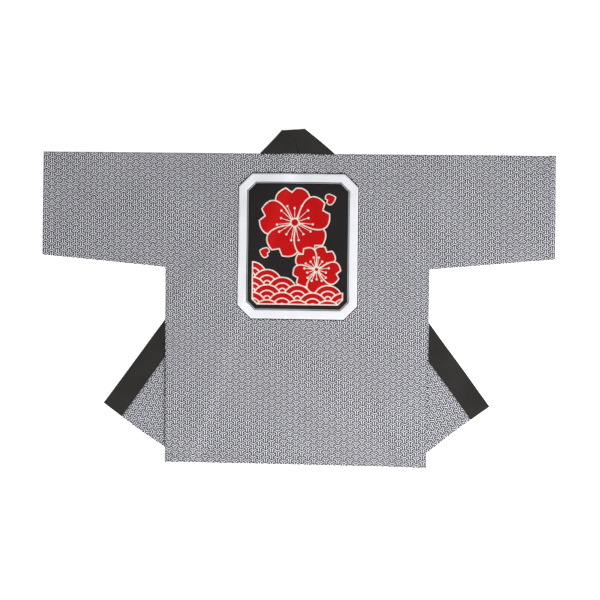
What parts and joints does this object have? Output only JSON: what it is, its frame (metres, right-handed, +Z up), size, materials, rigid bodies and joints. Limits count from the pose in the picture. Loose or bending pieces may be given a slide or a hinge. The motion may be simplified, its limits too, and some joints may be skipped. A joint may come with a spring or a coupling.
{
  "type": "happi coat laid flat",
  "caption": "Short straight-sleeved festival coat laid flat with its back up, both fronts turned outward under it, with a broad dark collar band.",
  "frame": {"origin": "the centre of the space that the coat covers, on the surface that it lies on", "axes": "+X to the wearer's right, along the sleeves; +Y to the collar; +Z up, out of the coat's back"},
  "size_m": [1.254, 0.8209, 0.0067],
  "materials": {
    "printed_cotton": "plain woven cotton, printed all over with an interlocking hexagon pattern in black and white",
    "collar_cotton": "black cotton in several layers, pressed flat"
  },
  "bodies": {
    "root": {"back": "printed_cotton", "front_left": "printed_cotton", "front_right": "printed_cotton", "sleeve_left": "printed_cotton", "sleeve_right": "printed_cotton", "collar_left": "collar_cotton", "collar_right": "collar_cotton"}
  },
  "joints": []
}
